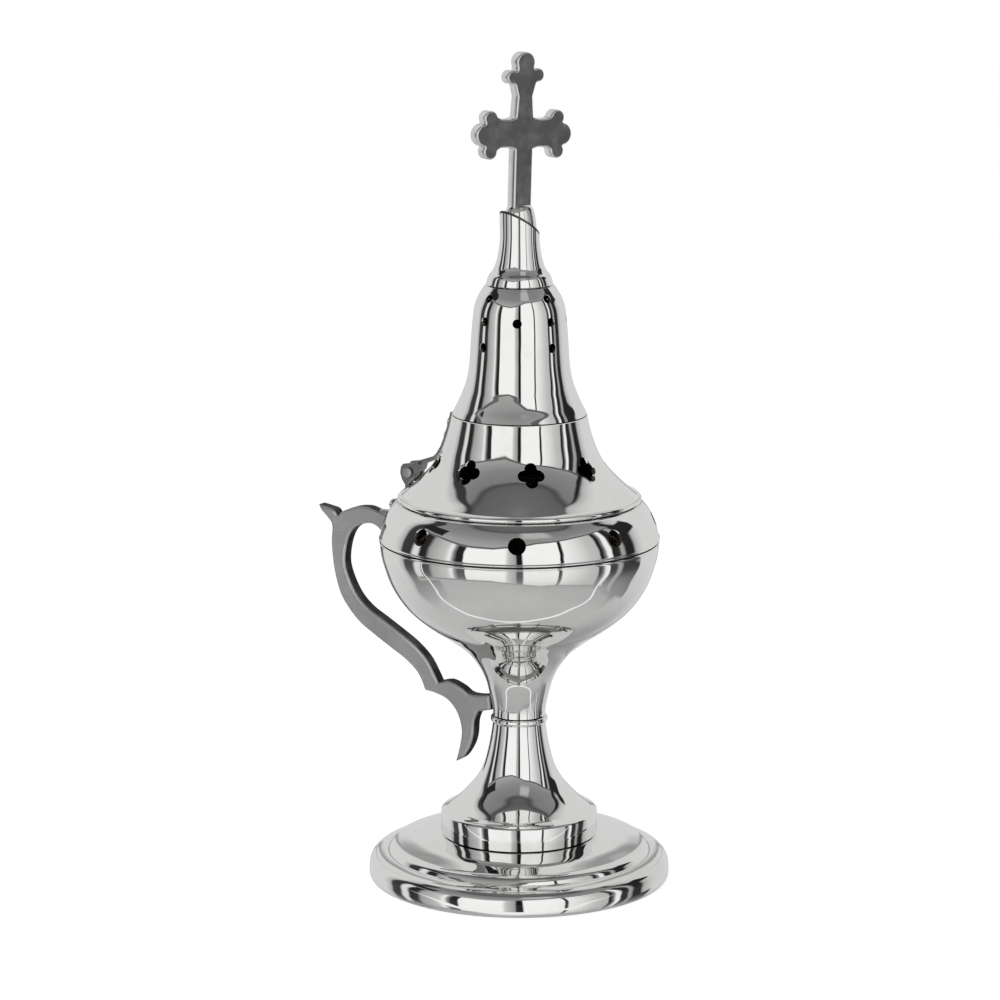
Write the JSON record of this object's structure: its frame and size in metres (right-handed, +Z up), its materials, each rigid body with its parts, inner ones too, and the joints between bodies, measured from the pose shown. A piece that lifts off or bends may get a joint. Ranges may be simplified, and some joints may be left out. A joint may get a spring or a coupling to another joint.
{
  "type": "censer",
  "caption": "Standing hand censer: stepped round foot, trumpet stem, goblet bowl with a pierced gallery ring, hinged pierced spire lid with a cross, and a scroll side handle.",
  "frame": {"origin": "centre of the underside of the foot's base cloth, the face the censer stands on, on the turning axis", "axes": "+Z up along the turning axis, -X towards the scroll handle and the lid's hinge, Y across the flat of the handle"},
  "size_m": [0.1082, 0.0866, 0.2374],
  "materials": {
    "nickel": "spun brass with bright nickel plate, mirror polished",
    "nickel_cast": "cast brass with nickel plate, polished less fine than the spun shells",
    "brass": "bare brass, sooted inside",
    "steel": "zinc-plated steel",
    "felt": "dark green base cloth"
  },
  "bodies": {
    "stand": {"foot": "nickel", "base_felt": "felt", "foot_washer": "steel", "foot_nut": "steel", "tie_rod": "steel", "stem": "nickel", "bowl": "nickel", "bowl_washer": "steel", "bowl_nut": "steel", "gallery_ring": "nickel", "handle": "nickel_cast", "handle_screw": "steel", "handle_dowel": "steel", "hinge_bracket": "nickel_cast", "bracket_rivet_1": "nickel", "bracket_rivet_2": "nickel", "hinge_pin": "steel"},
    "lid": {"lid_dome": "nickel", "lid_spigot": "nickel", "hinge_strap": "nickel_cast", "strap_rivet_1": "nickel", "strap_rivet_2": "nickel", "lid_spire": "nickel", "lid_neck": "nickel", "cross": "nickel_cast", "cross_stud": "steel", "cross_washer": "steel", "cross_nut": "steel"},
    "cup": {"charcoal_cup": "brass"}
  },
  "joints": [
    {"name": "lid_hinge", "type": "hinge", "parent": "stand", "child": "lid", "pos_m": [-0.0345, 0, 0.1158], "axis": [0, -1, 0], "range_deg": [0, 105]},
    {"name": "cup_lift", "type": "slide", "parent": "stand", "child": "cup", "axis": [0, 0, 1], "range_m": [0, 0.009]}
  ]
}
